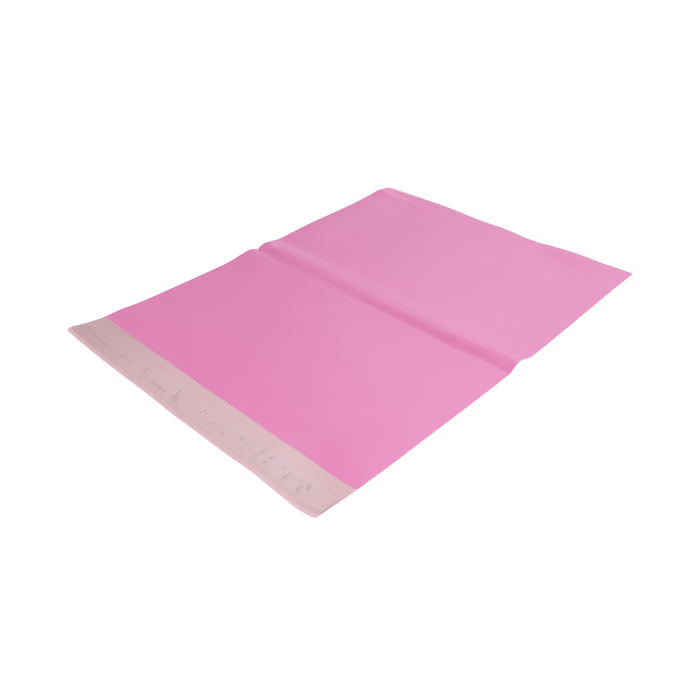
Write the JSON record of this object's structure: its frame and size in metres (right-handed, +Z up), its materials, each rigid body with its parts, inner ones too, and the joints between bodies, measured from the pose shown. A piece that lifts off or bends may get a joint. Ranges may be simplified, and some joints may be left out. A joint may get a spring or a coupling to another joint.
{
  "type": "poly mailer",
  "caption": "Flat empty plastic mailing bag with an open mouth and a closing flap; a release liner covers the adhesive strip on the flap, and a packing crease runs across the bag.",
  "frame": {"origin": "middle of the bag's footprint, on the surface that the bag lies on", "axes": "+Y along the bag from the flap towards the bottom fold, +X across the width, +Z up, out of the front panel"},
  "size_m": [0.305, 0.4246, 0.0082],
  "materials": {
    "pink_film": "satin blown film, pink outside, with a pale greyish pink inner face",
    "hot_melt": "clear tacky hot-melt adhesive, slightly glossy",
    "release_liner": "thin translucent release film, crinkled, over the pink flap"
  },
  "bodies": {
    "root": {"film_envelope": "pink_film", "adhesive_strip": "hot_melt", "release_liner": "release_liner"}
  },
  "joints": []
}
